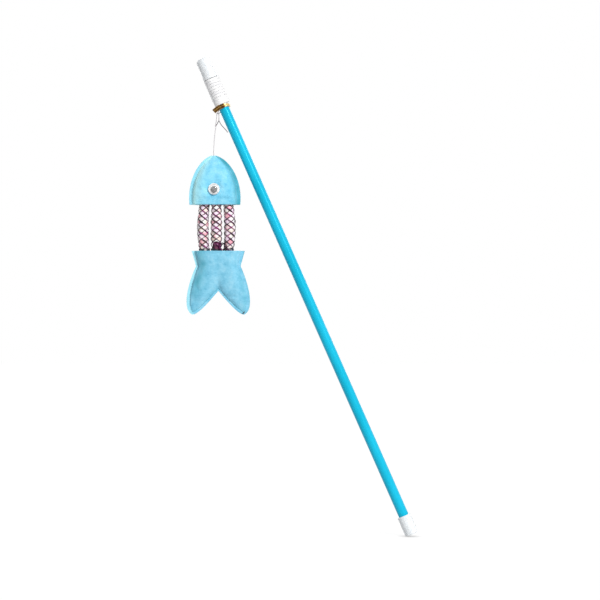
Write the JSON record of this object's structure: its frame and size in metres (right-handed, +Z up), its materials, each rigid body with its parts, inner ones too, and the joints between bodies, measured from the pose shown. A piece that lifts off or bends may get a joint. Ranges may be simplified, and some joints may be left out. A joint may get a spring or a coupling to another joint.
{
  "type": "cat teaser wand",
  "caption": "Slim capped play wand with a wound neck and a gold tie, from which a stuffed felt fish with a body of net tubes and moving eyes hangs on a short clear line.",
  "frame": {"origin": "the grip point on the axis of the wand, 75 mm from its lower end", "axes": "+Z up, with the wand leaning 23.8 degrees towards -X as it is held; the fish hangs along -Z; -Y is the front"},
  "size_m": [0.1778, 0.0222, 0.3691],
  "materials": {
    "cyan_plastic": "glossy extruded plastic tube",
    "white_plastic": "smooth moulded plastic",
    "white_tape": "smooth white tape wrapped on the tube",
    "white_cord": "tightly wound smooth cord",
    "gold_film": "metallised gold film over a wire core",
    "nylon": "clear nylon line",
    "blue_felt": "matte felt",
    "filling": "soft fibre filling",
    "eye_white": "smooth moulded plastic",
    "eye_clear": "clear moulded plastic",
    "pupil_black": "glossy black plastic",
    "net_film": "shiny pink woven film with dark strands",
    "dark_thread": "dark sewing thread",
    "magenta_enamel": "dark glossy enamel",
    "pellet_steel": "plain steel"
  },
  "bodies": {
    "wand": {"tube": "cyan_plastic", "bottom_cap": "white_plastic", "top_cap": "white_plastic", "neck_sleeve": "white_tape", "neck_winding": "white_cord", "twist_tie": "gold_film", "line_hitch": "nylon"},
    "loop": {"line_loop": "nylon", "loop_knot": "nylon", "line_tail": "nylon"},
    "line": {"hang_line": "nylon", "end_knot": "nylon"},
    "fish": {"head_front": "blue_felt", "head_back": "blue_felt", "head_filling": "filling", "eye_cup_front": "eye_white", "eye_cup_back": "eye_white", "eye_dome_front": "eye_clear", "eye_dome_back": "eye_clear", "net_left": "net_film", "net_middle": "net_film", "net_right": "net_film"},
    "tail": {"tail_front": "blue_felt", "tail_back": "blue_felt", "tail_filling": "filling", "thread_end": "dark_thread", "bell_shell": "magenta_enamel"},
    "front_pupil": {"pupil_front": "pupil_black"},
    "back_pupil": {"pupil_back": "pupil_black"},
    "pellet": {"bell_pellet": "pellet_steel"}
  },
  "joints": [
    {"name": "loop_swing", "type": "hinge", "parent": "wand", "child": "loop", "pos_m": [-0.11906, 0, 0.25471], "axis": [0, 1, 0], "range_deg": [-8, 95]},
    {"name": "line_swing", "type": "hinge", "parent": "loop", "child": "line", "pos_m": [-0.12056, 0, 0.24571], "axis": [1, 0, 0], "range_deg": [-90, 90]},
    {"name": "fish_turn", "type": "hinge", "parent": "line", "child": "fish", "pos_m": [-0.12226, 0, 0.22271], "axis": [0, 0, 1], "continuous": true},
    {"name": "tail_flex", "type": "hinge", "parent": "fish", "child": "tail", "pos_m": [-0.12016, 0, 0.16696], "axis": [1, 0, 0], "range_deg": [-50, 50], "deforming": ["net_left", "net_middle", "net_right"]},
    {"name": "pupil_front_roll", "type": "hinge", "parent": "fish", "child": "front_pupil", "pos_m": [-0.12166, -0.00815, 0.19651], "axis": [0, 1, 0], "continuous": true},
    {"name": "pupil_back_roll", "type": "hinge", "parent": "fish", "child": "back_pupil", "pos_m": [-0.12166, 0.00815, 0.19651], "axis": [0, 1, 0], "continuous": true},
    {"name": "pellet_roll", "type": "hinge", "parent": "tail", "child": "pellet", "pos_m": [-0.12016, 0, 0.15361], "axis": [0, 1, 0], "range_deg": [-80, 80]}
  ]
}
